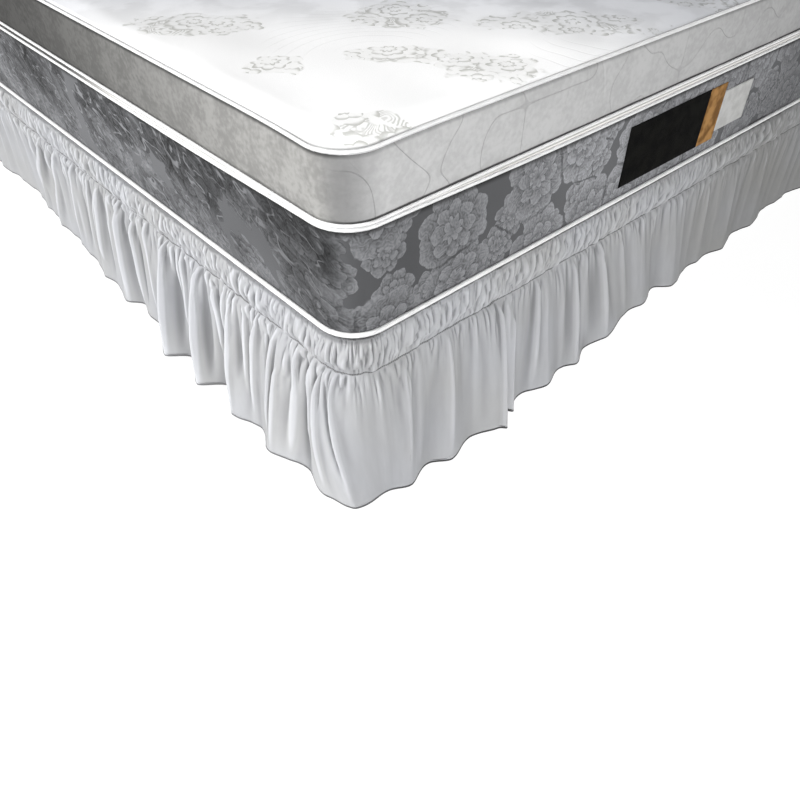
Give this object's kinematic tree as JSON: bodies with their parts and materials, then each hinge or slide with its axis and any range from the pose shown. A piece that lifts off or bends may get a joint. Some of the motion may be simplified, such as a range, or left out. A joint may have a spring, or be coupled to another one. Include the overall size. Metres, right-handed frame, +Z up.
{
  "type": "bed skirt on a bed base with a mattress",
  "caption": "Gathered bed skirt with an elastic heading band, hanging in soft folds round a bed base that carries a pillow-top mattress with white piping.",
  "frame": {"origin": "on the floor under the middle of the bed", "axes": "+Z up, +Y towards the head of the bed, -Y towards its foot, where the bare label is"},
  "size_m": [2.1075, 2.2106, 0.673],
  "materials": {
    "skirt_cloth": "plain light grey polyester-cotton cloth, matt",
    "base_cloth": "plain upholstery cloth, matt, hidden behind the skirt",
    "foot_plastic": "black moulded plastic",
    "border_damask": "grey damask with lighter woven flowers and leaves",
    "quilt_knit": "white quilted knit with faint scrolls and flowers",
    "piping_cord": "smooth white bias tape over a cord",
    "label_dark": "black satin patch, bare",
    "label_gold": "orange-gold satin strip, bare",
    "label_pale": "pale satin tag, bare"
  },
  "bodies": {
    "root": {"bed_skirt": "skirt_cloth", "bed_base": "base_cloth", "foot_1": "foot_plastic", "foot_2": "foot_plastic", "foot_3": "foot_plastic", "foot_4": "foot_plastic", "foot_5": "foot_plastic", "foot_6": "foot_plastic", "mattress": "border_damask", "pillow_top": "quilt_knit", "piping_low": "piping_cord", "piping_mid": "piping_cord", "piping_upper": "piping_cord", "piping_top": "piping_cord", "label_patch": "label_dark", "label_strip": "label_gold", "label_tag": "label_pale"}
  },
  "joints": []
}
